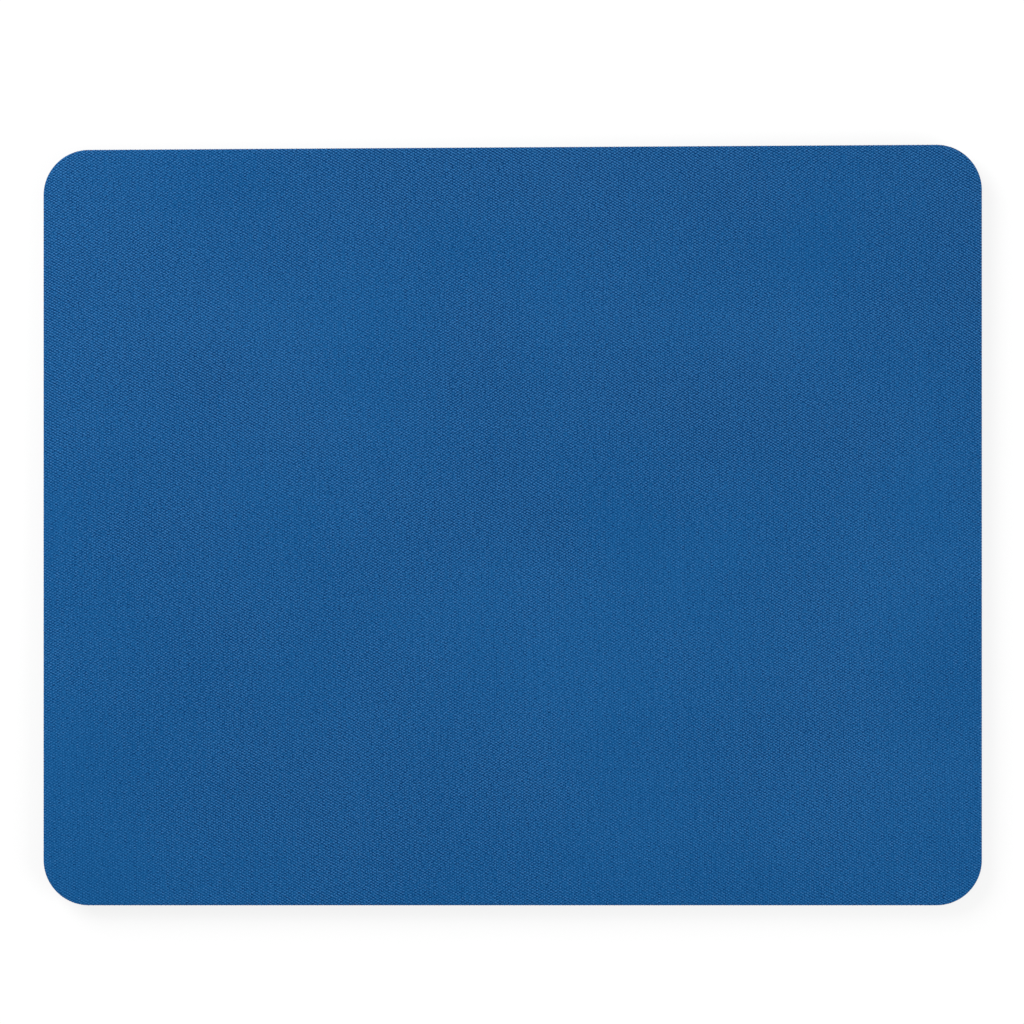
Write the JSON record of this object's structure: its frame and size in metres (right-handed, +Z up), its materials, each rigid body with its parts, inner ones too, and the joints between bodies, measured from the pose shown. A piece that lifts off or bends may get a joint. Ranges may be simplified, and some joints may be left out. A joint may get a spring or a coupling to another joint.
{
  "type": "mouse pad",
  "caption": "Flat cloth-faced mouse pad with rounded corners: woven blue face bonded to a soft foam-rubber core with an anti-slip rubber skin underneath.",
  "frame": {"origin": "on the desk, under the middle of the pad's outline box", "axes": "+X along the long side, to the right as seen by the user, +Y away from the user towards the far edge, +Z up out of the cloth face"},
  "size_m": [0.235, 0.1905, 0.005],
  "materials": {
    "face_cloth": "matte plain-woven polyester, blue",
    "bond_film": "milky hot-melt adhesive film",
    "foam_rubber": "matte open-cell cut face, black",
    "grip_rubber": "satin embossed skin, black"
  },
  "bodies": {
    "root": {"cloth_top": "face_cloth", "adhesive_film": "bond_film", "foam_core": "foam_rubber", "grip_base": "grip_rubber"}
  },
  "joints": []
}
